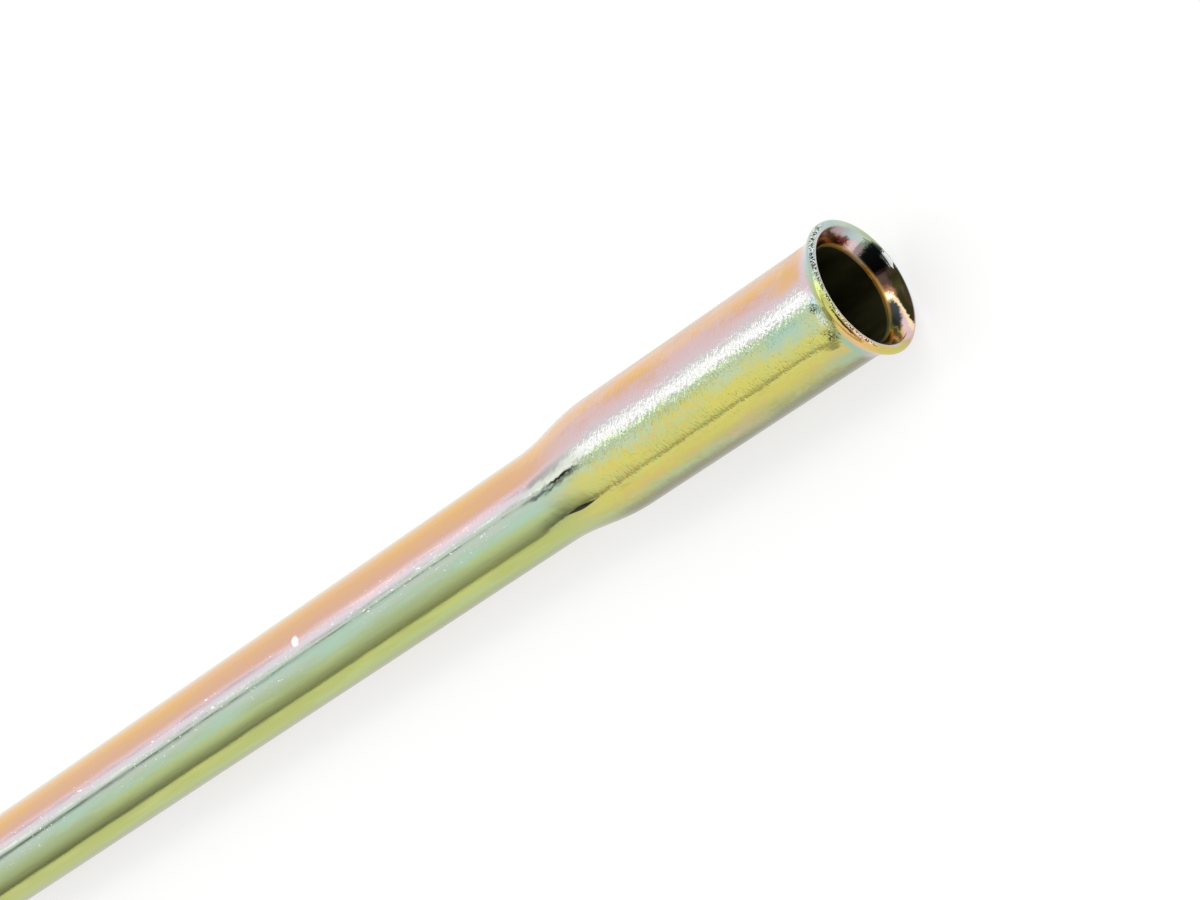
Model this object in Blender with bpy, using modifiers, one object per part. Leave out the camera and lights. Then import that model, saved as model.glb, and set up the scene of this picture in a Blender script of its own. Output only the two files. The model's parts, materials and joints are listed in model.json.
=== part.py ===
"""Dipstick tube of a small engine.

One piece of steel tube, formed at both ends and then bent once. The upper end is swaged
out to a socket with a flared and rounded mouth, where the dipstick goes in and its
stopper seats. The lower end has an upset bead that sits on the engine block and a plain
nose that presses into the block's bore.

The tube lies on its side and touches the ground at three places: its mouth, its bend
and its bead. X runs along the upper leg towards the mouth, Z is up, and the origin is
on the ground at the middle of the tube's bounding box.
"""

import math

import bpy
from mathutils import Matrix, Vector

MM = 0.001

# Tube stock
TUBE_DIAMETER = 9.53 * MM
WALL = 0.9 * MM

# Socket at the upper end, with the neck that brings the tube out to it
SOCKET_DIAMETER = 11.5 * MM
SOCKET_LENGTH = 31.6 * MM
NECK_LENGTH = 9.5 * MM

# Flared mouth: how far its lip stands out from the socket's side, and its angle to the axis
FLARE_WIDTH = 0.82 * MM
FLARE_ANGLE = math.radians(30)
FLARE_FILLET = 3.4 * MM
THROAT_FILLET = 0.35 * MM

# Bend between the two legs; its radius is the one of the tube's axis
UPPER_LEG = 190.0 * MM
BEND_RADIUS = 45.0 * MM
BEND_ANGLE = math.radians(30)
LOWER_LEG = 48.0 * MM

# Bead on the lower leg; its height is how far it stands out from the tube's side
BEAD_HEIGHT = 1.885 * MM
BEAD_THICKNESS = 2.6 * MM
BEAD_EDGE = 0.7 * MM
BEAD_ROOT_FILLET = 0.5 * MM

# Nose below the bead, which presses into the block
NOSE_LENGTH = 16.0 * MM
NOSE_CHAMFER = 0.4 * MM

# Fineness of the faces
SIDES = 36
NECK_STEPS = 9
BEND_STEPS = 12
LIP_STEPS = 6
FILLET_STEPS = 4
SETTLING_STEPS = 8

STEEL_COLOUR = (0.58, 0.50, 0.33, 1.0)


def remove_all_objects():
    """Empty the scene."""
    for item in list(bpy.data.objects):
        bpy.data.objects.remove(item, do_unlink=True)


def arc(centre, radius, start, end, steps):
    """Points of (radius, height) on an arc; its angles run from the outward direction to up."""
    points = []
    for step in range(steps + 1):
        angle = start + (end - start) * step / steps
        points.append((centre[0] + radius * math.cos(angle), centre[1] + radius * math.sin(angle)))
    return points


def flared_mouth():
    """Section of the mouth, from the throat's lower end over the lip to the socket's side."""
    rise = Vector((math.sin(FLARE_ANGLE), math.cos(FLARE_ANGLE)))
    outward = Vector((math.cos(FLARE_ANGLE), -math.sin(FLARE_ANGLE)))
    lip_radius = WALL / 2
    lip = Vector((SOCKET_DIAMETER / 2 + FLARE_WIDTH - lip_radius, UPPER_LEG - lip_radius))
    half_turn = math.pi

    # The throat is rounded between the socket's bore and the inner face of the flare.
    bore = SOCKET_DIAMETER / 2 - WALL
    inner_face = lip - outward * lip_radius
    throat_fillet = min(THROAT_FILLET, (inner_face.x - bore) / (1 - math.cos(FLARE_ANGLE)))
    throat_top = bore + throat_fillet * (1 - math.cos(FLARE_ANGLE))
    throat_rise = inner_face - rise * (inner_face.x - throat_top) / rise.x
    throat_centre = (bore + throat_fillet, throat_rise.y - throat_fillet * math.sin(FLARE_ANGLE))
    throat = arc(throat_centre, throat_fillet, half_turn, half_turn - FLARE_ANGLE, FILLET_STEPS)

    # The flare's back leaves the socket's side in a wide fillet.
    side = SOCKET_DIAMETER / 2
    back = lip + outward * lip_radius
    flare_fillet = min(FLARE_FILLET, (back.x - side) / (1 - math.cos(FLARE_ANGLE)))
    fillet_top = side + flare_fillet * (1 - math.cos(FLARE_ANGLE))
    fillet_rise = back - rise * (back.x - fillet_top) / rise.x
    fillet_centre = (side + flare_fillet, fillet_rise.y - flare_fillet * math.sin(FLARE_ANGLE))
    fillet = arc(fillet_centre, flare_fillet, half_turn - FLARE_ANGLE, half_turn, FILLET_STEPS)

    rounded_lip = arc(lip, lip_radius, half_turn - FLARE_ANGLE, -FLARE_ANGLE, LIP_STEPS)
    return throat + rounded_lip + fillet


def neck(from_radius, to_radius, from_height, to_height):
    """Section of the swaged neck, an S curve between two radii."""
    points = []
    for step in range(NECK_STEPS + 1):
        share = step / NECK_STEPS
        swell = (1 - math.cos(math.pi * share)) / 2
        radius = from_radius + (to_radius - from_radius) * swell
        points.append((radius, from_height + (to_height - from_height) * share))
    return points


def bend_rings(radius, down):
    """Rings of the stretch that is bent, still straight, at one radius."""
    length = BEND_RADIUS * BEND_ANGLE
    heights = [-length * step / BEND_STEPS for step in range(BEND_STEPS + 1)]
    if not down:
        heights.reverse()
    return [(radius, height) for height in heights]


def bead_and_nose():
    """Section of the outer side below the bend, from the bead's top to the nose's end."""
    side = TUBE_DIAMETER / 2
    rim = side + BEAD_HEIGHT
    end = -BEND_RADIUS * BEND_ANGLE - LOWER_LEG
    seat = end + NOSE_LENGTH
    top = seat + BEAD_THICKNESS
    edge = min(BEAD_EDGE, BEAD_THICKNESS / 2, rim - side)
    root = min(BEAD_ROOT_FILLET, rim - side - edge)
    quarter = math.pi / 2
    root_fillet = arc((side + root, top + root), root, 2 * quarter, 3 * quarter, FILLET_STEPS)
    upper_edge = arc((rim - edge, top - edge), edge, quarter, 0, FILLET_STEPS)
    lower_edge = arc((rim - edge, seat + edge), edge, 0, -quarter, FILLET_STEPS)
    nose = [(side, seat), (side, end + NOSE_CHAMFER), (side - NOSE_CHAMFER, end)]
    return root_fillet + upper_edge + lower_edge + nose


def wall_section():
    """Closed outline of the wall, down the outer side and back up the bore."""
    side = TUBE_DIAMETER / 2
    bore = side - WALL
    neck_top = UPPER_LEG - SOCKET_LENGTH
    neck_end = neck_top - NECK_LENGTH
    end = -BEND_RADIUS * BEND_ANGLE - LOWER_LEG
    outline = flared_mouth()
    outline += neck(SOCKET_DIAMETER / 2, side, neck_top, neck_end)
    outline += bend_rings(side, down=True)
    outline += bead_and_nose()
    outline += [(bore, end)]
    outline += bend_rings(bore, down=False)
    outline += neck(bore, SOCKET_DIAMETER / 2 - WALL, neck_end, neck_top)
    return without_repeats(outline)


def without_repeats(points):
    """Leave out points that lie on the one before them, as where two arcs meet."""
    kept = []
    for point in points:
        if not kept or math.dist(point, kept[-1]) > 0.001 * MM:
            kept.append(point)
    return kept


def turned_and_bent_tube():
    """Mesh of the formed tube: its section turned round the axis, then bent.

    The bend starts at the origin. The upper leg runs up Z from it, and the lower leg
    leans towards +Y.
    """
    section = [(radius, 0.0, height) for radius, height in wall_section()]
    edges = [(index, (index + 1) % len(section)) for index in range(len(section))]
    profile = bpy.data.meshes.new("wall_section")
    profile.from_pydata(section, edges, [])
    blank = bpy.data.objects.new("tube_blank", profile)
    bpy.context.scene.collection.objects.link(blank)

    turn = blank.modifiers.new("turn", "SCREW")
    turn.axis = "Z"
    turn.angle = math.tau
    turn.steps = SIDES
    turn.render_steps = SIDES
    turn.use_merge_vertices = True
    turn.merge_threshold = 0.001 * MM

    bottom = min(height for _, height in wall_section())
    length = max(height for _, height in wall_section()) - bottom
    bend = blank.modifiers.new("bend", "SIMPLE_DEFORM")
    bend.deform_method = "BEND"
    bend.deform_axis = "X"
    bend.angle = BEND_ANGLE
    bend.limits = ((-BEND_RADIUS * BEND_ANGLE - bottom) / length, -bottom / length)

    evaluated = blank.evaluated_get(bpy.context.evaluated_depsgraph_get())
    mesh = bpy.data.meshes.new_from_object(evaluated)
    bpy.data.objects.remove(blank)
    return mesh


def up_when_lying():
    """Direction that is up once the tube lies on its side, in the frame of the bend.

    The axis of the tube is then as high above the ground as the tube's own radius at
    each of the three supports. The bend's support is the point of its axis where the
    slope across the tube's plane is steepest, so it is found in a few rounds.
    """
    leg_end = Vector((BEND_RADIUS * (1 - math.cos(BEND_ANGLE)), -BEND_RADIUS * math.sin(BEND_ANGLE)))
    leg_direction = Vector((math.sin(BEND_ANGLE), -math.cos(BEND_ANGLE)))
    mouth = Vector((0.0, UPPER_LEG - WALL / 2))
    bead = leg_end + leg_direction * (LOWER_LEG - NOSE_LENGTH - BEAD_THICKNESS / 2)
    bend_centre = Vector((BEND_RADIUS, 0.0))
    radii = Vector((SOCKET_DIAMETER / 2 + FLARE_WIDTH, TUBE_DIAMETER / 2, TUBE_DIAMETER / 2 + BEAD_HEIGHT))
    slope = Vector((math.cos(BEND_ANGLE / 2), math.sin(BEND_ANGLE / 2)))
    for _ in range(SETTLING_STEPS):
        bend = bend_centre - slope.normalized() * BEND_RADIUS
        supports = Matrix([(place.x, place.y, 1.0) for place in (mouth, bend, bead)])
        across, along, _ = supports.inverted() @ radii
        slope = Vector((across, along))
    return Vector((math.sqrt(1 - slope.length_squared), across, along))


def lay_on_ground(mesh):
    """Turn the mesh onto its side and put its bounding box's bottom centre at the origin."""
    up = up_when_lying()
    leg = Vector((0.0, 0.0, 1.0))
    forward = (leg - up * leg.dot(up)).normalized()
    mesh.transform(Matrix((forward, up.cross(forward), up)).to_4x4())
    low = Vector([min(vertex.co[axis] for vertex in mesh.vertices) for axis in range(3)])
    high = Vector([max(vertex.co[axis] for vertex in mesh.vertices) for axis in range(3)])
    middle = (low + high) / 2
    mesh.transform(Matrix.Translation((-middle.x, -middle.y, -low.z)))


def plated_steel():
    """Material of the whole tube: zinc plate with a yellow passivation."""
    material = bpy.data.materials.new("yellow_zinc_plated_steel")
    material.use_nodes = True
    surface = material.node_tree.nodes["Principled BSDF"]
    surface.inputs["Base Color"].default_value = STEEL_COLOUR
    surface.inputs["Metallic"].default_value = 1.0
    surface.inputs["Roughness"].default_value = 0.3
    return material


def main():
    remove_all_objects()
    collection = bpy.data.collections.new("dipstick_tube")
    bpy.context.scene.collection.children.link(collection)

    mesh = turned_and_bent_tube()
    mesh.name = "dipstick_tube"
    lay_on_ground(mesh)
    mesh.shade_smooth()
    mesh.set_sharp_from_angle(angle=math.radians(35))
    mesh.materials.append(plated_steel())
    collection.objects.link(bpy.data.objects.new("dipstick_tube", mesh))


main()
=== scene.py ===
"""Looks of a dipstick tube: zinc-plated steel with an iridescent yellow passivation."""

import json
import math

import bmesh
import bpy
from mathutils import Matrix, Vector


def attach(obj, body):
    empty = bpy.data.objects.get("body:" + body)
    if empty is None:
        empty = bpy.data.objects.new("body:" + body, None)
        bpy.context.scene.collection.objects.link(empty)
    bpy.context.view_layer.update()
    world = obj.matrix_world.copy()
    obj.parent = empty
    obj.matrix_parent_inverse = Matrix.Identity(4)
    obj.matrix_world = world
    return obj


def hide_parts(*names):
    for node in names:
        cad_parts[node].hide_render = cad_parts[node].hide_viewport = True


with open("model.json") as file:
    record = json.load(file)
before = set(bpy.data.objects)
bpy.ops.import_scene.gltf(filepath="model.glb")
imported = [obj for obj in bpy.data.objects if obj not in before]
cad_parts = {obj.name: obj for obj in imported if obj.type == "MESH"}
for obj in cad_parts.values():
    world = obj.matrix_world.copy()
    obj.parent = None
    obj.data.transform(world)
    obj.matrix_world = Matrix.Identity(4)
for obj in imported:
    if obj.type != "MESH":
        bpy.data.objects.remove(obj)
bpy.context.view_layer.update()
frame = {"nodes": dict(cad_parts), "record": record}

MM = 0.001

# Sizes of the tube, as its solid has them
TUBE_RADIUS = 4.765 * MM
WALL = 0.9 * MM
SOCKET_RADIUS = 5.75 * MM
SOCKET_LENGTH = 31.6 * MM
NECK_LENGTH = 9.5 * MM
FLARE_WIDTH = 0.82 * MM
FLARE_ANGLE = math.radians(30)
FLARE_FILLET = 3.4 * MM
THROAT_FILLET = 0.35 * MM
UPPER_LEG = 190.0 * MM
BEND_RADIUS = 45.0 * MM
BEND_ANGLE = math.radians(30)
LOWER_LEG = 48.0 * MM
BEAD_HEIGHT = 1.885 * MM
BEAD_THICKNESS = 2.6 * MM
BEAD_EDGE = 0.7 * MM
BEAD_ROOT_FILLET = 0.5 * MM
NOSE_LENGTH = 16.0 * MM
NOSE_CHAMFER = 0.4 * MM

# Heights on the straight tube, before it is bent; the bend starts at zero
NECK_TOP = UPPER_LEG - SOCKET_LENGTH
NECK_END = NECK_TOP - NECK_LENGTH
BEND_END = -BEND_RADIUS * BEND_ANGLE
NOSE_END = BEND_END - LOWER_LEG
BEAD_SEAT = NOSE_END + NOSE_LENGTH
BEAD_TOP = BEAD_SEAT + BEAD_THICKNESS

# Fineness of the mesh: points round the tube, segments of its rounds, cuts of its stretches
AROUND = 128
NECK_STEPS = 30
LIP_SEGMENTS = 8
FILLET_SEGMENTS = 6
FOOT_SEGMENTS = 12
SOCKET_CUTS = 80
UPPER_LEG_CUTS = 199
UPPER_BORE_CUTS = 60
BEND_CUTS = 23
LOWER_LEG_CUTS = 30

# Points closer than these are the same corner, or are merged; shorter edges aren't divided
SAME_CORNER = 0.01 * MM
MERGE_DRAWN = 0.001 * MM
MERGE_ROUNDED = 0.005 * MM
SHORTEST_DIVIDED = 0.05 * MM

# What each of the lip's two rounds leaves of half the wall, and the widest angle shaded smooth
LIP_CLEARANCE = 0.002 * MM
SMOOTH_ANGLE = math.radians(40)

# Stretches of the solid whose middles give the upper leg's direction, and how often it is refined
BEND_START_STRETCH = (-0.5 * MM, 0.5 * MM)
SOCKET_STRETCH = (NECK_TOP - 1 * MM, UPPER_LEG)
LEG_ROUNDS = 3

# The photograph's view: how the tube lies in it, and where its mouth is from the camera
LENS = 96.5
SENSOR_WIDTH = 36
CLIP_START = 0.01
PICTURE_ANGLE = math.radians(34.08)
LEAN_TO_CAMERA = math.radians(35.93)
CAMERA_ROUND_TUBE = math.radians(64)
MOUTH_FROM_CAMERA = Vector((22.43, 14.01, -276.3)) * MM

# Angle round the straight tube of the line that faces that camera
FACING_CAMERA = math.pi / 2 - CAMERA_ROUND_TUBE

# Degrees in one turn round the tube
FULL_TURN = 360

# Single marks: degrees round the tube, and how far one of them is below the mouth
# Fine dark line on the plain tube: a painted reflection of the softbox's dark frame
DARK_LINE_AT = 9.9
# Ragged dark line on the neck: a painted reflection of the softbox's dark frame
FRAME_REFLECTION_AT = 10.2
# Crescent on the neck: a painted reflection of the room's dark band low on the near side
CRESCENT_AT = -26.2
# Bright blob inside the flare: a painted highlight
FLARE_BLOB_AT = 173
WHITE_SPOT_AT = 27.5
WHITE_SPOT_DOWN = 73.7 * MM

# Heights of the relief
GRAIN_HEIGHT = 0.08 * MM
ORANGE_PEEL_HEIGHT = 0.03 * MM
FLAT_HEIGHT = 0.26 * MM
SHOULDER_HEIGHT = 0.08 * MM
DRAW_MARK_HEIGHT = 0.012 * MM
RIPPLE_HEIGHT = 0.07 * MM
BRUISE_HEIGHT = 0.03 * MM

# Swell of the flare's inner face: its middle, how far it reaches either way, and its curve
SWELL_RADIUS = 5.28 * MM
SWELL_REACH = 0.42 * MM
SWELL_CURVE = -0.3 / MM

# Floor and room; the unlit spot lies towards the near side, up and along the upper leg
FLOOR_SIZE = 6
FLOOR_GREY = 0.42
FLOOR_GLOW = 0.63
SOFTBOX_GAIN = 0.90
SOFTBOX_FRAME_AT = 8.0
UNLIT_SPOT = (0.704, 0.503, 0.503)
UNLIT_OUTER = math.radians(28)
UNLIT_INNER = math.radians(23)
UNLIT_LOSS = -0.95


def mouth_corners():
    """Corners of the mouth as (radius, height): throat, inner lip, outer lip, flare's foot."""
    rise = Vector((math.sin(FLARE_ANGLE), math.cos(FLARE_ANGLE)))
    outward = Vector((math.cos(FLARE_ANGLE), -math.sin(FLARE_ANGLE)))
    half_wall = WALL / 2
    lip = Vector((SOCKET_RADIUS + FLARE_WIDTH - half_wall, UPPER_LEG - half_wall))
    inner = lip + (rise - outward) * half_wall
    outer = lip + (rise + outward) * half_wall
    throat = inner - rise * (inner.x - SOCKET_RADIUS + WALL) / rise.x
    foot = outer - rise * (outer.x - SOCKET_RADIUS) / rise.x
    return throat, inner, outer, foot


THROAT, INNER_LIP, OUTER_LIP, FLARE_FOOT = mouth_corners()
THROAT_LINE = THROAT.y - 0.3 * MM
FLARE_START = FLARE_FOOT.y - FLARE_FILLET * math.tan(FLARE_ANGLE / 2)


def wall_middle(height):
    """Radius of the wall's middle at one height of the straight tube, bead and flare left out."""
    share = min(max((height - NECK_END) / NECK_LENGTH, 0), 1)
    return TUBE_RADIUS - WALL / 2 + (SOCKET_RADIUS - TUBE_RADIUS) * share


def deselect_all():
    """Leave nothing selected."""
    for item in bpy.context.selected_objects:
        item.select_set(False)


def neck_stations(inward, down):
    """Stations of the neck's S curve, moved inward from the outer side."""
    stations = []
    for step in range(NECK_STEPS + 1):
        share = step / NECK_STEPS
        swell = (1 - math.cos(math.pi * share)) / 2
        radius = TUBE_RADIUS + (SOCKET_RADIUS - TUBE_RADIUS) * swell - inward
        stations.append((radius, NECK_END + NECK_LENGTH * share))
    if down:
        stations.reverse()
    return stations


def wall_stations():
    """Rings that the wall is drawn through, down the outer side and back up the bore."""
    side = TUBE_RADIUS
    bore = TUBE_RADIUS - WALL
    rim = TUBE_RADIUS + BEAD_HEIGHT
    stations = [tuple(OUTER_LIP), tuple(FLARE_FOOT)]
    stations += neck_stations(0.0, down=True)
    stations += [(side, 0.0), (side, BEND_END), (side, BEAD_TOP), (rim, BEAD_TOP)]
    stations += [(rim, BEAD_SEAT), (side, BEAD_SEAT), (side, NOSE_END), (bore, NOSE_END)]
    stations += [(bore, BEND_END), (bore, 0.0)]
    stations += neck_stations(WALL, down=False)
    stations += [(THROAT.x, THROAT_LINE), tuple(THROAT), tuple(INNER_LIP)]
    return stations


def draw_wall():
    """Draw a ring of edges through every station and close it on itself."""
    stations = wall_stations()
    radius, height = stations[0]
    bpy.ops.mesh.primitive_circle_add(vertices=AROUND, radius=radius, location=(0, 0, height))
    tube = bpy.context.object
    bpy.ops.object.transform_apply(location=True, rotation=True, scale=True)
    bpy.ops.object.mode_set(mode="EDIT")
    for next_radius, next_height in stations[1:] + stations[:1]:
        step = (0, 0, next_height - height)
        bpy.ops.mesh.extrude_region_move(TRANSFORM_OT_translate={"value": step})
        scale = next_radius / radius
        bpy.ops.transform.resize(value=(scale, scale, 1), center_override=(0, 0, next_height))
        radius, height = next_radius, next_height
    bpy.ops.mesh.select_all(action="SELECT")
    bpy.ops.mesh.remove_doubles(threshold=MERGE_DRAWN)
    bpy.ops.mesh.normals_make_consistent(inside=False)
    return tube


def select_edges(tube, wanted):
    """Select the edges whose two ends satisfy a test on (radius, height)."""
    bpy.ops.mesh.select_all(action="DESELECT")
    bpy.ops.mesh.select_mode(type="EDGE")
    mesh = bmesh.from_edit_mesh(tube.data)
    for edge in mesh.edges:
        ends = [(math.hypot(corner.co.x, corner.co.y), corner.co.z) for corner in edge.verts]
        edge.select_set(wanted(*ends))
    bmesh.update_edit_mesh(tube.data)


def round_ring(tube, corner, width, segments):
    """Bevel the ring of edges at one corner of the section."""
    def on_corner(first, second):
        return max(math.dist(first, corner), math.dist(second, corner)) < SAME_CORNER

    select_edges(tube, on_corner)
    bpy.ops.mesh.bevel(offset=width, offset_type="OFFSET", segments=segments, profile=0.5)


def divide_stretch(tube, low, high, cuts, inner=False):
    """Cut the lengthwise edges between two heights into rings, on the outer side or the bore."""
    def lengthwise(first, second):
        lower, upper = sorted((first[1], second[1]))
        within = low - SAME_CORNER < lower and upper < high + SAME_CORNER
        if inner:
            on_side = max(first[0], second[0]) < wall_middle(upper)
        else:
            on_side = min(first[0], second[0]) > wall_middle(upper)
        return within and on_side and upper - lower > SHORTEST_DIVIDED

    select_edges(tube, lengthwise)
    bpy.ops.mesh.subdivide(number_cuts=cuts)


def formed_tube():
    """The straight tube with its formed ends, all corners rounded."""
    tube = draw_wall()
    lip_round = WALL / 2 - LIP_CLEARANCE
    half_angle = math.tan(FLARE_ANGLE / 2)
    round_ring(tube, OUTER_LIP, lip_round, LIP_SEGMENTS)
    round_ring(tube, INNER_LIP, lip_round, LIP_SEGMENTS)
    round_ring(tube, FLARE_FOOT, FLARE_FILLET * half_angle, FOOT_SEGMENTS)
    round_ring(tube, THROAT, THROAT_FILLET * half_angle, FILLET_SEGMENTS)
    rim = TUBE_RADIUS + BEAD_HEIGHT
    round_ring(tube, (TUBE_RADIUS, BEAD_TOP), BEAD_ROOT_FILLET, FILLET_SEGMENTS)
    round_ring(tube, (rim, BEAD_TOP), BEAD_EDGE, FILLET_SEGMENTS)
    round_ring(tube, (rim, BEAD_SEAT), BEAD_EDGE, FILLET_SEGMENTS)
    round_ring(tube, (TUBE_RADIUS, NOSE_END), NOSE_CHAMFER, 1)
    divide_stretch(tube, NECK_TOP, FLARE_START, SOCKET_CUTS)
    divide_stretch(tube, 0.0, NECK_END, UPPER_LEG_CUTS)
    divide_stretch(tube, BEND_END, 0.0, BEND_CUTS)
    divide_stretch(tube, BEND_END, 0.0, BEND_CUTS, inner=True)
    divide_stretch(tube, BEAD_TOP + BEAD_ROOT_FILLET, BEND_END, LOWER_LEG_CUTS)
    divide_stretch(tube, 0.0, NECK_END, UPPER_BORE_CUTS, inner=True)
    bpy.ops.mesh.select_all(action="SELECT")
    bpy.ops.mesh.remove_doubles(threshold=MERGE_ROUNDED)
    bpy.ops.object.mode_set(mode="OBJECT")
    return tube


def keep_straight_places(tube):
    """Store each point's place on the straight tube, which the finish follows round the bend."""
    places = tube.data.attributes.new("straight_place", "FLOAT_VECTOR", "POINT")
    for place, vertex in zip(places.data, tube.data.vertices):
        place.vector = vertex.co


def bend(tube):
    """Bend the straight tube between its two legs."""
    heights = [vertex.co.z for vertex in tube.data.vertices]
    bottom = min(heights)
    length = max(heights) - bottom
    modifier = tube.modifiers.new("bend", "SIMPLE_DEFORM")
    modifier.deform_method = "BEND"
    modifier.deform_axis = "X"
    modifier.angle = BEND_ANGLE
    modifier.limits = ((BEND_END - bottom) / length, -bottom / length)
    bpy.ops.object.modifier_apply(modifier=modifier.name)


def upper_leg_in_frame():
    """Bend's start, direction of the upper leg and the way up from it, in the row's frame."""
    solid = frame["nodes"]["dipstick_tube"]
    points = {tuple(round(value, 7) for value in vertex.co) for vertex in solid.data.vertices}
    points = [Vector(point) for point in points]
    leg = Vector((1, 0, 0))
    for _ in range(LEG_ROUNDS):
        mouth_height = max(point.dot(leg) for point in points)
        middles = []
        for low, high in (BEND_START_STRETCH, SOCKET_STRETCH):
            rings = [
                point for point in points
                if low < point.dot(leg) - mouth_height + UPPER_LEG < high
            ]
            middles.append(sum(rings, Vector()) / len(rings))
        leg = (middles[1] - middles[0]).normalized()
    bend_start = middles[0] + leg * (mouth_height - UPPER_LEG - middles[0].dot(leg))
    seat = frame["record"]["mounts"][0]
    up = Vector(seat["axis"]).cross(leg).normalized()
    return bend_start, leg, up


def lay_in_frame(tube):
    """Move the tube from its own frame to where its solid lies."""
    bend_start, leg, up = upper_leg_in_frame()
    turn = Matrix((up, leg.cross(up), leg)).transposed().to_4x4()
    tube.matrix_world = Matrix.Translation(bend_start) @ turn
    bpy.ops.object.transform_apply(location=True, rotation=True, scale=True)


def plated_tube():
    """The whole tube as one piece."""
    deselect_all()
    tube = formed_tube()
    tube.name = "plated_tube"
    keep_straight_places(tube)
    bend(tube)
    lay_in_frame(tube)
    bpy.ops.object.shade_smooth_by_angle(angle=SMOOTH_ANGLE)
    return tube


def photograph_camera():
    """Camera that sees the tube as the photograph does."""
    bend_start, leg, up = upper_leg_in_frame()
    mouth = bend_start + leg * (UPPER_LEG - WALL / 2)
    world_axes = Matrix((leg, up.cross(leg), up))

    lean, angle, round_tube = LEAN_TO_CAMERA, PICTURE_ANGLE, CAMERA_ROUND_TUBE
    level = math.cos(lean)
    leg_seen = Vector((level * math.cos(angle), level * math.sin(angle), math.sin(lean)))
    across_seen = Vector((-math.sin(angle), math.cos(angle), 0))
    facing_seen = leg_seen.cross(across_seen)
    up_seen = across_seen * math.cos(round_tube) + facing_seen * math.sin(round_tube)
    seen_axes = Matrix((leg_seen, up_seen.cross(leg_seen), up_seen))
    turn = world_axes.transposed() @ seen_axes

    settings = bpy.data.cameras.new("photograph_view")
    settings.lens = LENS
    settings.sensor_width = SENSOR_WIDTH
    settings.clip_start = CLIP_START
    camera = bpy.data.objects.new("photograph_view", settings)
    camera.matrix_world = Matrix.Translation(mouth - turn @ MOUTH_FROM_CAMERA) @ turn.to_4x4()
    bpy.context.scene.collection.objects.link(camera)
    bpy.context.scene.camera = camera


def srgb(red, green, blue):
    """Linear colour of three sRGB values from 0 to 255."""
    def linear(value):
        share = value / 255
        return share / 12.92 if share <= 0.04045 else ((share + 0.055) / 1.055) ** 2.4

    return (linear(red), linear(green), linear(blue), 1.0)


# Colours of the passivation film, with some that are painted highlights, reflections and shade
STRAW = srgb(218, 198, 168)
PEACH = srgb(227, 181, 134)
PINK_PEACH = srgb(227, 190, 169)
APRICOT = srgb(230, 184, 118)
SALMON = srgb(220, 177, 156)
ROSE = srgb(220, 187, 185)
LILAC = srgb(217, 195, 199)
PEWTER = srgb(168, 163, 166)
SHELL = srgb(186, 168, 172)
BLUSH = srgb(226, 195, 195)
# Painted shade on the neck: grey film that dims the softbox's highlight there
FROST = srgb(166, 173, 160)
# Neutral band where the socket's highlight falls: partly a painted highlight
SILVER = srgb(201, 201, 199)
TEAL = srgb(192, 205, 190)
MINT = srgb(194, 210, 171)
SEA_GREEN = srgb(176, 205, 184)
SAGE = srgb(178, 194, 160)
MOSS = srgb(172, 187, 138)
FERN = srgb(166, 182, 134)
REED = srgb(161, 171, 117)
LEAF = srgb(178, 194, 134)
OLIVE = srgb(180, 188, 110)
LIME = srgb(192, 197, 116)
LEMON = srgb(204, 206, 122)
CITRON = srgb(214, 208, 112)
GOLD = srgb(202, 196, 104)
OCHRE = srgb(208, 186, 106)
AMBER = srgb(226, 180, 112)
TAN = srgb(196, 176, 134)
BRASS = srgb(174, 171, 105)
DRAB = srgb(139, 139, 106)
UMBER = srgb(126, 121, 90)
FAWN = srgb(206, 174, 138)
DEEP_TEAL = srgb(156, 184, 164)
# Gold of the throat's edge, painted brighter where the edge catches the light
BRIGHT_GOLD = srgb(236, 186, 96)
STEEL_GREY = srgb(136, 138, 121)
BLUE_GREY = srgb(178, 196, 196)
MAUVE = srgb(186, 162, 168)
# Cream painted highlight: the flare's bright streak and the throat line's brightest stretch
CREAM = srgb(250, 226, 186)
COPPER = srgb(206, 140, 84)
BRONZE = srgb(150, 106, 78)
RUST = srgb(170, 100, 66)
PLUM = srgb(92, 70, 66)
# Near-black painted reflection, inside the flare and in the lip's dark specks
DARK_REFLECTION = srgb(36, 36, 34)
GRAPHITE = srgb(74, 78, 78)
# Near-white painted glint, for the flare's bright blob and the lip's bright specks
PAINTED_GLINT = srgb(236, 240, 238)
# Painted reflection of the softbox's dark frame on the plain tube
DARK_LINE = srgb(120, 132, 118)
# Dark olive: painted reflection on the neck and inside the flare, and the throat line's darker
# stretch
DARK_OLIVE = srgb(50, 48, 26)
DARK_RED = srgb(110, 52, 40)
WORN_STEEL = srgb(206, 198, 204)
SCUFF_WHITE = srgb(250, 250, 246)
BORE_DARK = srgb(96, 100, 76)
BORE_LIGHT = srgb(140, 138, 100)

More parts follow.
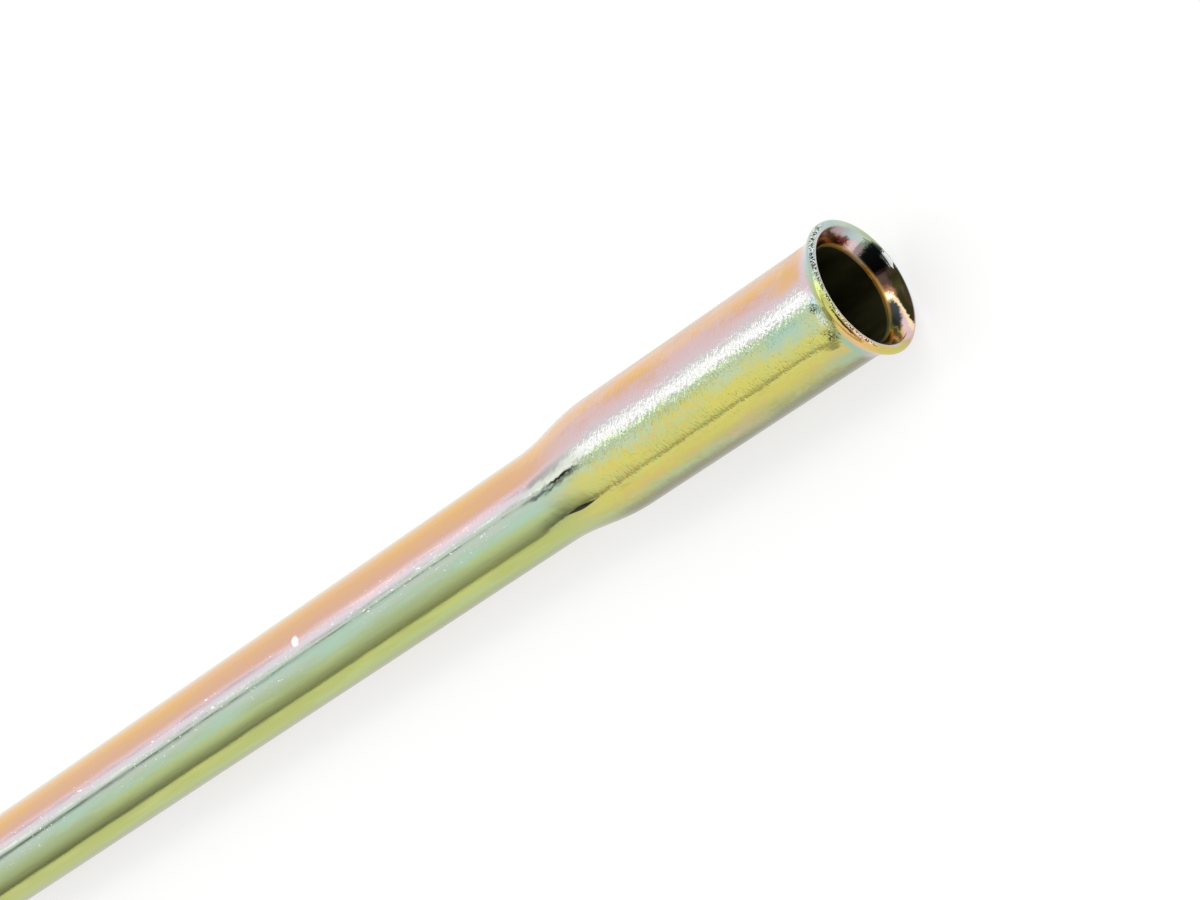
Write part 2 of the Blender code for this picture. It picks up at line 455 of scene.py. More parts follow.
# Films round the plain tube and round the socket: degrees from the line that faces the
# photograph's camera, positive to the upper left. Each has a thinner film that shows in patches.
TUBE_FILMS = [
    (-180, AMBER), (-140, ROSE), (-110, TEAL), (-88, DRAB), (-68, REED), (-56, OLIVE),
    (-38, OLIVE), (-24, REED), (-14, FERN), (-5, SAGE), (4, TEAL), (13, TEAL), (16, PEWTER),
    (20.5, PEWTER), (24, SHELL), (27, BLUSH), (33, SALMON), (50, PEACH), (62, PEACH),
    (80, STRAW), (110, MOSS), (145, TEAL),
]
THIN_TUBE_FILMS = [
    (-180, ROSE), (-140, AMBER), (-110, SAGE), (-88, DRAB), (-68, REED), (-56, LEAF),
    (-38, LIME), (-24, REED), (-14, LEAF), (-4, SEA_GREEN), (6, SEA_GREEN), (13, TEAL),
    (16, PEWTER), (20.5, PEWTER), (24, SHELL), (27, BLUSH), (33, SALMON), (44, APRICOT),
    (62, APRICOT), (80, STRAW), (110, LIME), (145, SAGE),
]
# On the socket, SILVER is a neutral band painted where the softbox's highlight falls, so that it
# reads white: partly a painted highlight.
SOCKET_FILMS = [
    (-180, AMBER), (-140, ROSE), (-110, TEAL), (-90, UMBER), (-74, UMBER), (-63, DRAB),
    (-52, BRASS), (-38, GOLD), (-20, CITRON), (-3, CITRON), (4, LEMON), (10, MINT),
    (15.5, SILVER), (25, SILVER), (32, LILAC), (46, ROSE), (58, PINK_PEACH), (78, FAWN),
    (94, FAWN), (115, MOSS), (145, TEAL),
]
THIN_SOCKET_FILMS = [
    (-180, ROSE), (-140, AMBER), (-110, SAGE), (-90, UMBER), (-74, UMBER), (-63, DRAB),
    (-52, MOSS), (-38, OCHRE), (-24, LEMON), (-9, LEMON), (2, MINT), (11, MINT), (15.5, SILVER),
    (26, SILVER), (33, LILAC), (46, SALMON), (58, APRICOT), (70, PINK_PEACH), (80, FAWN),
    (94, FAWN), (115, LIME), (145, SAGE),
]
LIP_FILMS = [
    (-180, BLUE_GREY), (-155, BLUE_GREY), (-138, MAUVE), (-115, ROSE), (-96, TAN), (-76, GOLD),
    (-54, OCHRE), (-38, APRICOT), (-22, AMBER), (-5, CITRON), (12, LIME), (26, SAGE),
    (46, BLUE_GREY), (62, TEAL), (100, BLUE_GREY), (116, TEAL), (142, SAGE), (162, MOSS),
]
FOOT_FILMS = [
    (-180, BLUE_GREY), (-110, TEAL), (-76, STEEL_GREY), (-62, MAUVE), (-50, DEEP_TEAL),
    (-36, DEEP_TEAL), (-25, MOSS), (-10, LIME), (4, SEA_GREEN), (12, BLUE_GREY), (24, LILAC),
    (46, LILAC), (64, ROSE), (110, MOSS), (150, TEAL),
]
# Inside the flare at its outer edge, down at its throat, and the line round the throat
# Their dark stops are painted reflections of the dark bore, and their cream stops a painted
# highlight.
FLARE_FILMS = [
    (-180, PLUM), (-174, DARK_OLIVE), (-160, DARK_OLIVE), (-157.5, CREAM), (-151, CREAM),
    (-147, BLUSH), (-134, BLUSH), (-126, APRICOT), (-100, AMBER), (0, COPPER), (82, RUST),
    (98, BRONZE), (112, MAUVE), (131, BLUE_GREY), (145, TEAL), (151, SAGE), (153, GRAPHITE),
    (178, DARK_REFLECTION),
]
THROAT_FILMS = [
    (-180, PLUM), (-168, PLUM), (-162, BRONZE), (-158, CREAM), (-153, CREAM), (-150, GRAPHITE),
    (-121, DARK_REFLECTION), (-116, CITRON), (-106, AMBER), (0, COPPER), (85, RUST), (107, COPPER),
    (118, DARK_RED), (130, DARK_RED), (135, ROSE), (144, LILAC), (151, MAUVE), (153, GRAPHITE),
    (176, DARK_REFLECTION), (178, PLUM),
]
# Film of the throat's edge; its gold and cream stretches are partly painted highlight where the
# edge catches the light.
THROAT_LINE_FILMS = [
    (-180, BRIGHT_GOLD), (-150, BRIGHT_GOLD), (-130, BRASS), (-105, BRASS), (-80, DARK_OLIVE),
    (60, DARK_OLIVE), (90, BRASS), (130, BRIGHT_GOLD), (146, CREAM), (160, CREAM),
    (168, BRIGHT_GOLD),
]
# Patches on the socket: mm below the mouth, degrees round the tube, film and how much of it
SOCKET_PATCHES = [
    ((19, 14), (-56, -42), TAN, 0.8),
    ((9, 3), (-7, 11), SEA_GREEN, 1.0),
    ((5.2, 1.9), (36, 60), APRICOT, 0.8),
    ((4.6, 1.4), (-56, -40), DEEP_TEAL, 0.7),
]


class Nodes:
    """Short ways to build one node tree."""

    def __init__(self, tree):
        self.tree = tree

    def add(self, kind, **settings):
        """New node with its settings."""
        node = self.tree.nodes.new(kind)
        for name, value in settings.items():
            setattr(node, name, value)
        return node

    def feed(self, socket, value):
        """Link a socket to another's output, or set it to a value."""
        if isinstance(value, bpy.types.NodeSocket):
            self.tree.links.new(value, socket)
        else:
            socket.default_value = value

    def math(self, operation, *values):
        """One step of arithmetic."""
        node = self.add("ShaderNodeMath", operation=operation)
        for socket, value in zip(node.inputs, values):
            self.feed(socket, value)
        return node.outputs[0]

    def product(self, *values):
        """All values multiplied."""
        result = values[0]
        for value in values[1:]:
            result = self.math("MULTIPLY", result, value)
        return result

    def apart(self, first, second):
        """How far two values are from each other."""
        return self.math("ABSOLUTE", self.math("SUBTRACT", first, second))

    def wandered(self, value, noise, share):
        """Value moved by a noise, up to half of the share either way."""
        return self.math("MULTIPLY_ADD", self.math("SUBTRACT", noise, 0.5), share, value)

    def dot(self, first, second):
        """Dot product of two vectors."""
        node = self.add("ShaderNodeVectorMath", operation="DOT_PRODUCT")
        self.feed(node.inputs[0], first)
        self.feed(node.inputs[1], second)
        return node.outputs["Value"]

    def ease(self, value, low, high, start=0.0, end=1.0):
        """Smooth change from start to end while value goes from low to high."""
        node = self.add("ShaderNodeMapRange", interpolation_type="SMOOTHSTEP")
        for socket, number in zip(node.inputs, (value, low, high, start, end)):
            self.feed(socket, number)
        return node.outputs[0]

    def band(self, value, low, high, edge):
        """One between low and high, nothing outside, with soft edges."""
        rise = self.ease(value, low - edge, low + edge)
        fall = self.ease(value, high - edge, high + edge, 1.0, 0.0)
        return self.math("MULTIPLY", rise, fall)

    def mix(self, share, first, second):
        """First colour, with a share of the second; 6, 7 and 2 are the node's colour sockets."""
        node = self.add("ShaderNodeMix", data_type="RGBA")
        self.feed(node.inputs["Factor"], share)
        self.feed(node.inputs[6], first)
        self.feed(node.inputs[7], second)
        return node.outputs[2]

    def noise(self, place, scale, detail=2.0, roughness=0.5):
        """Noise that is one feature wide where the scaled place grows by one."""
        mapping = self.add("ShaderNodeMapping")
        self.feed(mapping.inputs["Vector"], place)
        mapping.inputs["Scale"].default_value = scale
        node = self.add("ShaderNodeTexNoise")
        self.feed(node.inputs["Vector"], mapping.outputs[0])
        node.inputs["Scale"].default_value = 1.0
        node.inputs["Detail"].default_value = detail
        node.inputs["Roughness"].default_value = roughness
        return node.outputs["Fac"]

    def films(self, turns, stops):
        """Films round the tube; turns runs from 0 at -180 degrees to 1 at 180."""
        ramp = self.add("ShaderNodeValToRGB")
        colours = ramp.color_ramp
        colours.elements[0].position = 0.0
        colours.elements[0].color = stops[0][1]
        colours.elements[1].position = 1.0
        colours.elements[1].color = stops[0][1]
        for degrees, colour in stops[1:]:
            element = colours.elements.new(degrees / FULL_TURN + 0.5)
            element.color = colour
        self.feed(ramp.inputs[0], turns)
        return ramp.outputs[0]


def finish_material(name):
    """New material with its tree and its surface."""
    material = bpy.data.materials.new(name)
    material.use_nodes = True
    tree = material.node_tree
    return material, Nodes(tree), tree.nodes["Principled BSDF"]


def at(degrees):
    """Turns of an angle round the tube."""
    return 0.5 + degrees / FULL_TURN


class TubeSkin:
    """Coordinates that follow the tube, and the grain that its colour and its relief share."""

    def __init__(self, n):
        self.place = n.add("ShaderNodeAttribute", attribute_name="straight_place").outputs["Vector"]
        separate = n.add("ShaderNodeSeparateXYZ")
        n.feed(separate.inputs[0], self.place)
        x, y, self.height = separate.outputs
        angle = n.math("ARCTAN2", y, x)
        turned = n.math("SUBTRACT", FACING_CAMERA, angle)
        turns = n.math("MULTIPLY_ADD", turned, 1 / math.tau, 0.5)
        self.turns = n.math("FRACT", n.math("ADD", turns, 1.0))
        self.radius = n.math("SQRT", n.math("ADD", n.product(x, x), n.product(y, y)))
        rolled = n.add("ShaderNodeCombineXYZ")
        n.feed(rolled.inputs[0], n.math("COSINE", angle))
        n.feed(rolled.inputs[1], n.math("SINE", angle))
        n.feed(rolled.inputs[2], self.height)
        self.rolled = rolled.outputs[0]
        self.grain = n.noise(self.rolled, (10, 10, 4600), 2.0, 0.6)

    def sector(self, n, low, high, edge):
        """One between two angles round the tube, in degrees, with soft edges."""
        return n.band(self.turns, at(low), at(high), edge / FULL_TURN)

    def below_mouth(self, n, low, high, edge):
        """One between two distances below the mouth, in mm, the farther one first."""
        return n.band(self.height, UPPER_LEG - low * MM, UPPER_LEG - high * MM, edge * MM)


def drifted(n, turns, noise, share):
    """Turns that wander with a noise, so that the bands are not ruled lines."""
    return n.math("FRACT", n.math("ADD", n.wandered(turns, noise, share), 1.0))


def inner_side(n, skin):
    """One on the flare's inner face and nothing on its back."""
    over_throat = n.math("SUBTRACT", skin.height, THROAT.y)
    cone = n.math("MULTIPLY", n.math("SUBTRACT", skin.radius, THROAT.x), 1 / math.tan(FLARE_ANGLE))
    return n.ease(n.math("SUBTRACT", over_throat, cone), -1.2 * MM, -0.4 * MM)


def dark_line(n, skin):
    """One along a fine line on the plain tube that fades here and there: a painted reflection of
    the softbox's dark frame.
    """
    fading = n.noise(skin.rolled, (1, 1, 220), 4.0, 0.7)
    place = n.wandered(skin.turns, fading, 3 / FULL_TURN)
    from_line = n.apart(place, at(DARK_LINE_AT))
    return n.product(
        n.ease(from_line, 1.2 / FULL_TURN, 0.3 / FULL_TURN),
        n.ease(fading, 0.42, 0.6, 0.0, 0.7),
        n.ease(skin.height, NECK_END + 2 * MM, NECK_END),
    )


def tube_film(n, skin):
    """Bands of the plain tube, with a fine dark line that is a painted reflection of the softbox's
    dark frame.
    """
    turns = drifted(n, skin.turns, n.noise(skin.rolled, (1.6, 1.6, 45), 3.0, 0.6), 0.045)
    turns = drifted(n, turns, skin.grain, 0.015)
    patches = n.ease(n.noise(skin.rolled, (2.2, 2.2, 70), 3.0, 0.6), 0.42, 0.62)
    colour = n.mix(patches, n.films(turns, TUBE_FILMS), n.films(turns, THIN_TUBE_FILMS))
    # Painted reflection of the softbox's dark frame, as a fine line
    return n.mix(dark_line(n, skin), colour, DARK_LINE)


def socket_film(n, skin):
    """Bands of the socket, mottled by fine streaks across it."""
    turns = drifted(n, skin.turns, n.noise(skin.rolled, (2.6, 2.6, 170), 4.0, 0.62), 0.05)
    turns = drifted(n, turns, skin.grain, 0.03)
    streaks = n.noise(skin.rolled, (5, 5, 1300), 3.0, 0.65)
    patches = n.noise(skin.rolled, (2.4, 2.4, 130), 4.0, 0.6)
    patches = n.ease(n.wandered(patches, streaks, 0.5), 0.38, 0.64)
    colour = n.mix(patches, n.films(turns, SOCKET_FILMS), n.films(turns, THIN_SOCKET_FILMS))
    lower_half = skin.below_mouth(n, 34, 17, 5)
    warmth = n.math("MULTIPLY_ADD", lower_half, 0.2, 0.1)
    warm = n.product(n.ease(streaks, 0.52, 0.38), skin.sector(n, -30, 2, 8), warmth)
    return n.mix(warm, colour, APRICOT)


def neck_frame_reflection(n, skin):
    """One along a ragged dark line on the neck, a painted reflection of the softbox's dark frame.
    """
    wander = n.noise(skin.rolled, (2, 2, 700), 4.0, 0.7)
    place = n.wandered(skin.turns, wander, 9 / FULL_TURN)
    across = n.ease(n.apart(place, at(FRAME_REFLECTION_AT)), 1.5 / FULL_TURN, 0.7 / FULL_TURN)
    return n.product(across, skin.below_mouth(n, 36.6, 32.6, 1.2))


def neck_crescent(n, skin):
    """One in a crescent on the neck's lower side, thickest at its middle: a painted reflection of
    the room's dark band low on the near side.
    """
    at_middle = skin.below_mouth(n, 36.2, 33.6, 1.6)
    thickness = n.math("MULTIPLY_ADD", at_middle, 3.2 / FULL_TURN, 0.1 / FULL_TURN)
    from_crescent = n.apart(skin.turns, at(CRESCENT_AT))
    across = n.ease(n.math("DIVIDE", from_crescent, thickness), 1.0, 0.55)
    return n.product(across, skin.below_mouth(n, 37.2, 32.6, 0.8))


def neck_film(n, skin, colour):
    """Grey film on the neck where the highlight ends, painted shade that dims it to a pale stretch;
    a ragged dark line and a dark crescent, both painted reflections.
    """
    on_neck = skin.below_mouth(n, 39, 31, 2)
    # Painted shade: grey film that dims the highlight on the neck
    colour = n.mix(n.product(on_neck, skin.sector(n, 12, 22, 6), 0.85), colour, FROST)
    # Painted reflection of the softbox's dark frame, ragged along the neck
    colour = n.mix(neck_frame_reflection(n, skin), colour, DARK_OLIVE)
    # Painted reflection of the room's dark low band, as a crescent
    return n.mix(neck_crescent(n, skin), colour, DARK_OLIVE)


def socket_patches(n, skin, colour):
    """Patches of their own colour on the socket."""
    wander = n.noise(skin.rolled, (3, 3, 300), 3.0, 0.6)
    place = drifted(n, skin.turns, wander, 0.10)
    for (low, high), (first, last), film, share in SOCKET_PATCHES:
        along = skin.below_mouth(n, low, high, min(2.5, (low - high) / 2))
        across = n.band(place, at(first), at(last), 8 / FULL_TURN)
        colour = n.mix(n.product(along, across, share), colour, film)
    return colour


def mouth_film(n, skin, colour):
    """Bands of the flare's foot and of the rolled lip."""
    wander = n.noise(skin.rolled, (4, 4, 300), 3.0, 0.6)
    turns = drifted(n, skin.turns, wander, 0.05)
    near_mouth = n.math("MULTIPLY_ADD", wander, 1.2 * MM, n.math("SUBTRACT", skin.height, 0.6 * MM))
    at_foot = n.ease(near_mouth, UPPER_LEG - 2.7 * MM, UPPER_LEG - 1.7 * MM)
    colour = n.mix(at_foot, colour, n.films(turns, FOOT_FILMS))
    at_lip = n.ease(near_mouth, UPPER_LEG - 1.5 * MM, UPPER_LEG - 0.9 * MM)
    return n.mix(at_lip, colour, n.films(turns, LIP_FILMS))


def throat_line(n, skin):
    """One along the edge between the flare and the bore."""
    line = n.band(skin.height, THROAT.y - 0.50 * MM, THROAT.y + 0.14 * MM, 0.16 * MM)
    return n.product(line, n.ease(skin.radius, 5.4 * MM, 5.3 * MM))


def flare_turns(n, skin, blots, ragged):
    """Turns inside the flare, which slant outwards where its painted bright streak runs."""
    slanting = n.product(
        n.ease(skin.radius, 5.1 * MM, 5.95 * MM), 36 / FULL_TURN,
        n.ease(skin.turns, at(-172), at(-148)), n.ease(skin.turns, at(-60), at(-95)),
    )
    turns = drifted(n, drifted(n, skin.turns, blots, 0.03), ragged, 0.03)
    return n.math("MAXIMUM", n.math("SUBTRACT", turns, slanting), 0.012)


def flare_blob(n, skin, turns, ragged):
    """One in the ragged bright blob near the flare's lip, a painted highlight."""
    blob_radius = n.wandered(skin.radius, ragged, 0.4 * MM)
    around = n.math("FRACT", n.math("ADD", turns, 1.5 - at(FLARE_BLOB_AT)))
    across = n.ease(n.apart(around, 0.5), 9 / FULL_TURN, 7 / FULL_TURN)
    return n.product(n.ease(blob_radius, 5.62 * MM, 5.70 * MM), across)


def inside_flare(n, skin):
    """One on the flare's inner face, which reaches farther out on its far right."""
    from_right = n.math("MULTIPLY", n.math("SUBTRACT", skin.turns, at(-150)), math.tau)
    far_right = n.ease(n.math("COSINE", from_right), 0.4, 0.8)
    reach = n.math("MULTIPLY_ADD", far_right, -0.36 * MM, skin.radius)
    return n.product(n.ease(reach, 5.92 * MM, 5.72 * MM), inner_side(n, skin))


def flare_film(n, skin, colour):
    """Inside of the flare: its bands, whose dark patches are painted reflections of the dark bore,
    a slanting bright streak that is a painted highlight, and the line at its throat.
    """
    blots = n.noise(skin.place, (1500, 1500, 1500), 3.0, 0.6)
    ragged = n.noise(skin.place, (4200, 4200, 4200), 3.0, 0.7)
    turns = flare_turns(n, skin, blots, ragged)
    outward = n.ease(n.wandered(skin.radius, blots, 0.5 * MM), 5.26 * MM, 5.50 * MM)
    film = n.mix(outward, n.films(turns, THROAT_FILMS), n.films(turns, FLARE_FILMS))
    # Painted highlight: the bright blob inside the flare
    film = n.mix(flare_blob(n, skin, turns, ragged), film, PAINTED_GLINT)
    colour = n.mix(inside_flare(n, skin), colour, film)
    line_turns = drifted(n, skin.turns, blots, 0.06)
    return n.mix(throat_line(n, skin), colour, n.films(line_turns, THROAT_LINE_FILMS))


def lip_face(n, skin):
    """One on the lip's face and nothing below it."""
    return n.ease(skin.height, UPPER_LEG - 0.4 * MM, UPPER_LEG - 0.2 * MM)


def glinting_lip(n, skin):
    """One on the bruised stretch of the lip where its glints are painted, a little wider at the
    upper left.
    """
    upper_left = n.ease(skin.turns, at(14), at(46))
    outer = n.math("MULTIPLY_ADD", upper_left, 0.16 * MM, 6.36 * MM)
    within_outer = n.ease(n.math("SUBTRACT", skin.radius, outer), 0.06 * MM, 0.0)
    across = n.product(n.ease(skin.radius, 6.14 * MM, 6.20 * MM), within_outer)
    return n.product(across, lip_face(n, skin), skin.sector(n, -50, 84, 10))


def mouth_glints(n, skin, colour):
    """Black and bright specks on the bruised lip and at the foot of its flare: painted glints and
    painted dark reflections.
    """
    specks = n.noise(skin.place, (6200, 6200, 6200), 3.0, 0.75)
    on_lip = glinting_lip(n, skin)
    right_foot = n.product(skin.below_mouth(n, 2.9, 1.9, 0.3), skin.sector(n, -25, -14, 4))
    left_foot = n.product(skin.below_mouth(n, 2.6, 1.8, 0.3), skin.sector(n, 4, 12, 3))
    black_foot = n.math("MAXIMUM", right_foot, left_foot)
    bright_foot = n.product(skin.below_mouth(n, 2.4, 1.4, 0.3), skin.sector(n, -12, 4, 4))
    # Painted glints: dark reflections and bright glints in specks
    black = n.product(n.ease(specks, 0.52, 0.46), n.math("MAXIMUM", on_lip, black_foot))
    bright = n.product(n.ease(specks, 0.50, 0.56), n.math("MAXIMUM", on_lip, bright_foot))
    colour = n.mix(black, colour, DARK_REFLECTION)
    colour = n.mix(bright, colour, PAINTED_GLINT)
    worn_edge = n.product(
        n.band(skin.radius, 5.70 * MM, 6.08 * MM, 0.05 * MM), skin.sector(n, -84, 80, 8),
        lip_face(n, skin), 0.8,
    )
    return n.mix(worn_edge, colour, WORN_STEEL)


def film_colour(n, skin):
    """Colour of the whole film."""
    on_socket = n.ease(skin.height, NECK_END + 2 * MM, NECK_TOP + 1 * MM)
    colour = n.mix(on_socket, tube_film(n, skin), socket_film(n, skin))
    colour = neck_film(n, skin, colour)
    colour = socket_patches(n, skin, colour)
    colour = mouth_film(n, skin, colour)
    colour = mouth_glints(n, skin, colour)
    return flare_film(n, skin, colour)


def socket_crinkle(n, skin):
    """Crinkle of the swaged socket, strongest on the side that faces the camera."""
    on_socket = n.ease(skin.height, NECK_TOP - 3 * MM, NECK_TOP + 3 * MM)
    before_lip = n.ease(skin.height, UPPER_LEG - 0.7 * MM, UPPER_LEG - 1.8 * MM)
    crinkled_side = n.product(
        n.ease(skin.turns, at(-29.5), at(-19.5), 0.1, 1.0),
        n.ease(skin.turns, at(50), at(28), 0.4, 1.0),
    )
    orange_peel = n.noise(skin.rolled, (5, 5, 600), 2.0, 0.5)
    crinkle = n.product(skin.grain, crinkled_side, GRAIN_HEIGHT)
    crinkle = n.math("MULTIPLY_ADD", orange_peel, ORANGE_PEEL_HEIGHT, crinkle)
    return n.product(crinkle, on_socket, before_lip)


def socket_relief(n, skin):
    """Crinkle of the socket, and the flat along its lower right side with a low shoulder."""
    flat = n.product(n.ease(skin.turns, at(-60), at(-23.5)), FLAT_HEIGHT)
    shoulder = n.product(n.ease(skin.turns, at(-32.5), at(-20.5)), SHOULDER_HEIGHT)
    lengthwise = n.product(
        n.ease(skin.height, NECK_TOP - 8 * MM, NECK_TOP + 2 * MM),
        n.ease(skin.height, UPPER_LEG - 1.2 * MM, UPPER_LEG - 4.5 * MM),
    )
    crinkle = socket_crinkle(n, skin)
    return n.math("MULTIPLY_ADD", n.math("ADD", flat, shoulder), lengthwise, crinkle)


def skin_relief(n, skin):
    """Relief of the whole skin."""
    draw_marks = n.noise(skin.rolled, (7, 7, 200), 3.0, 0.6)
    relief = n.math("MULTIPLY_ADD", draw_marks, DRAW_MARK_HEIGHT, socket_relief(n, skin))

    ripple = n.noise(skin.rolled, (3, 3, 420), 2.0, 0.5)
    on_neck = n.band(skin.height, NECK_END + 1 * MM, NECK_TOP + 2 * MM, 1.5 * MM)
    relief = n.math("MULTIPLY_ADD", n.product(ripple, on_neck), RIPPLE_HEIGHT, relief)

    bruises = n.noise(skin.place, (3600, 3600, 3600), 1.0, 0.5)
    on_lip = n.product(
        n.ease(skin.height, UPPER_LEG - 0.6 * MM, UPPER_LEG - 0.3 * MM),
        n.ease(skin.radius, 6.04 * MM, 6.14 * MM), skin.sector(n, -60, 90, 10),
    )
    relief = n.math("MULTIPLY_ADD", n.product(bruises, on_lip), BRUISE_HEIGHT, relief)

    # The flare's inner face swells a little towards the dipstick
    from_middle = n.math("SUBTRACT", skin.radius, SWELL_RADIUS)
    from_middle = n.math("MINIMUM", n.math("MAXIMUM", from_middle, -SWELL_REACH), SWELL_REACH)
    swell = n.product(from_middle, from_middle, SWELL_CURVE)
    return n.math("MULTIPLY_ADD", swell, inner_side(n, skin), relief)


def scuffs(n, skin):
    """White flecks where the film of the plain tube is scuffed, and one larger spot."""
    small = n.ease(n.noise(skin.rolled, (22, 22, 1900), 1.5, 0.5), 0.68, 0.73)
    large = n.ease(n.noise(skin.rolled, (9, 9, 700), 2.0, 0.6), 0.69, 0.73)
    where = n.ease(n.noise(skin.rolled, (3, 3, 90), 2.0, 0.5), 0.45, 0.56)
    plain = n.ease(skin.height, NECK_END, NECK_END - 6 * MM)
    flecks = n.product(n.math("MAXIMUM", small, large), where, plain, skin.sector(n, -6, 32, 4))
    angle = FACING_CAMERA - math.radians(WHITE_SPOT_AT)
    around = (TUBE_RADIUS * math.cos(angle), TUBE_RADIUS * math.sin(angle))
    spot = (*around, UPPER_LEG - WHITE_SPOT_DOWN)
    distance = n.add("ShaderNodeVectorMath", operation="DISTANCE")
    n.feed(distance.inputs[0], skin.place)
    n.feed(distance.inputs[1], spot)
    edge = n.noise(skin.place, (1800, 1800, 1800))
    ragged = n.math("MULTIPLY_ADD", edge, 0.5 * MM, distance.outputs["Value"])
    return n.math("MAXIMUM", flecks, n.ease(ragged, 0.90 * MM, 0.56 * MM, 0.0, 0.9))


def passivated_zinc():
    """Zinc plate with an iridescent yellow passivation."""
    material, n, surface = finish_material("yellow_passivated_zinc")
    skin = TubeSkin(n)
    flecks = scuffs(n, skin)
    n.feed(surface.inputs["Base Color"], n.mix(flecks, film_colour(n, skin), SCUFF_WHITE))
    surface.inputs["Metallic"].default_value = 1.0
    roughness = n.math("MULTIPLY_ADD", throat_line(n, skin), 0.4, 0.15)
    n.feed(surface.inputs["Roughness"], n.math("MULTIPLY_ADD", flecks, 0.35, roughness))
    bump = n.add("ShaderNodeBump")
    bump.inputs["Strength"].default_value = 1.0
    bump.inputs["Distance"].default_value = 1.0
    n.feed(bump.inputs["Height"], skin_relief(n, skin))
    n.feed(surface.inputs["Normal"], bump.outputs[0])
    return material


def dark_bore():
    """Dark mottled finish inside the bore."""
    material, n, surface = finish_material("dark_bore_finish")
    place = n.add("ShaderNodeAttribute", attribute_name="straight_place").outputs["Vector"]
    mottle = n.noise(place, (400, 400, 120), 4.0, 0.6)
    n.feed(surface.inputs["Base Color"], n.mix(mottle, BORE_DARK, BORE_LIGHT))
    surface.inputs["Metallic"].default_value = 1.0
    n.feed(surface.inputs["Roughness"], n.ease(mottle, 0.2, 0.8, 0.35, 0.55))
    return material


def darken_bore(tube):
    """Give the faces of the bore below the throat their own finish."""
    tube.data.materials.append(passivated_zinc())
    tube.data.materials.append(dark_bore())
    places = tube.data.attributes["straight_place"].data
    for face in tube.data.polygons:
        corners = [places[index].vector for index in face.vertices]
        radius = sum(math.hypot(corner.x, corner.y) for corner in corners) / len(corners)
        height = sum(corner.z for corner in corners) / len(corners)
        if radius < wall_middle(height) and NOSE_END + 1 * MM < height < THROAT_LINE:
            face.material_index = 1


def white_floor():
    """White floor that the tube lies on; it keeps the tube's shadow."""
    bpy.ops.mesh.primitive_plane_add(size=FLOOR_SIZE, location=(0, 0, 0))
    floor = bpy.context.object
    floor.name = "white_floor"
    material, n, surface = finish_material("white_sweep")
    surface.inputs["Base Color"].default_value = (FLOOR_GREY, FLOOR_GREY, FLOOR_GREY, 1)
    surface.inputs["Roughness"].default_value = 1.0
    surface.inputs["Specular IOR Level"].default_value = 0.0
    surface.inputs["Emission Color"].default_value = (1, 1, 1, 1)
    path = n.add("ShaderNodeLightPath")
    seen = n.math("MAXIMUM", path.outputs["Is Camera Ray"], path.outputs["Is Glossy Ray"])
    n.feed(surface.inputs["Emission Strength"], n.math("MULTIPLY", seen, FLOOR_GLOW))
    material.cycles.emission_sampling = "NONE"
    floor.data.materials.append(material)


def softbox_light(n, degrees, away):
    """Light of the long softbox, with a darker frame along it that widens away from the mouth."""
    softbox = n.product(n.ease(degrees, -31, -17), n.ease(degrees, -2, -7))
    softbox = n.math("MULTIPLY_ADD", softbox, SOFTBOX_GAIN, 1.0)
    frame_width = n.math("MULTIPLY_ADD", away, 3.0, 1.5)
    from_frame = n.math("DIVIDE", n.apart(degrees, SOFTBOX_FRAME_AT), frame_width)
    frame_loss = n.math("MULTIPLY_ADD", away, -0.65, -0.25)
    frame_loss = n.product(n.ease(from_frame, 1.4, 0.7), frame_loss)
    return n.product(softbox, n.math("ADD", frame_loss, 1.0))


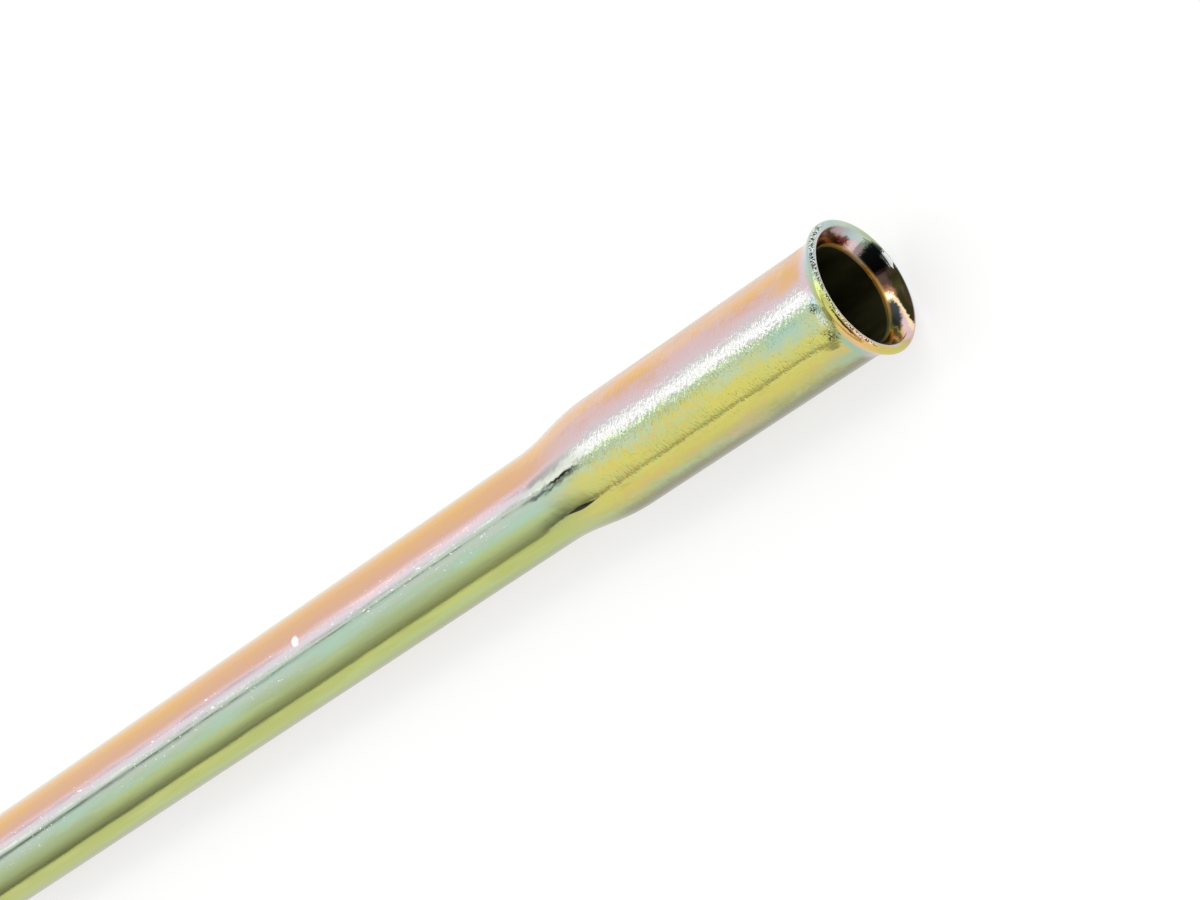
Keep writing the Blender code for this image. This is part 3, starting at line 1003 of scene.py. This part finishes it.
def dusk(n, overhead, nearness, away):
    """Light of the near side, which is darker towards the floor."""
    low = n.ease(overhead, -0.1, 0.45, n.math("MULTIPLY_ADD", away, -0.22, 0.25), 1.0)
    not_far = n.ease(nearness, -0.3, 0.2)
    return n.math("MULTIPLY_ADD", n.math("SUBTRACT", low, 1.0), not_far, 1.0)


def unlit_spot(n, direction, near, up, leg):
    """Dark spot of the room on the photographer's side."""
    towards_near, upwards, along = UNLIT_SPOT
    middle = (near * towards_near + up * upwards + leg * along).normalized()
    towards = n.dot(direction, tuple(middle))
    spot = n.ease(towards, math.cos(UNLIT_OUTER), math.cos(UNLIT_INNER))
    return n.math("MULTIPLY_ADD", spot, UNLIT_LOSS, 1.0)


def room_light(n):
    """Light of the room by its direction; degrees run from overhead to the near side."""
    _, leg, up = upper_leg_in_frame()
    near = leg.cross(up)
    direction = n.add("ShaderNodeTexCoord").outputs["Generated"]
    overhead = n.dot(direction, (0, 0, 1))
    nearness = n.dot(direction, tuple(near))
    degrees = n.math("MULTIPLY", n.math("ARCTAN2", nearness, overhead), 180 / math.pi)
    away = n.ease(n.dot(direction, tuple(leg)), -0.62, -0.80)
    shade = n.product(dusk(n, overhead, nearness, away), unlit_spot(n, direction, near, up, leg))
    return n.product(softbox_light(n, degrees, away), shade)


def studio_room():
    """White room with a softbox over the tube; the camera itself sees it plain white."""
    world = bpy.data.worlds.new("white_room")
    bpy.context.scene.world = world
    world.use_nodes = True
    n = Nodes(world.node_tree)
    background = world.node_tree.nodes["Background"]
    background.inputs["Color"].default_value = (1, 1, 1, 1)
    shown = n.add("ShaderNodeMix", data_type="FLOAT")
    n.feed(shown.inputs["Factor"], n.add("ShaderNodeLightPath").outputs["Is Camera Ray"])
    n.feed(shown.inputs[2], room_light(n))
    shown.inputs[3].default_value = 1.0
    n.feed(background.inputs["Strength"], shown.outputs[0])


tube = plated_tube()
darken_bore(tube)
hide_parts("dipstick_tube")
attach(tube, "root")
photograph_camera()
white_floor()
studio_room()
bpy.context.scene.view_settings.view_transform = "Standard"
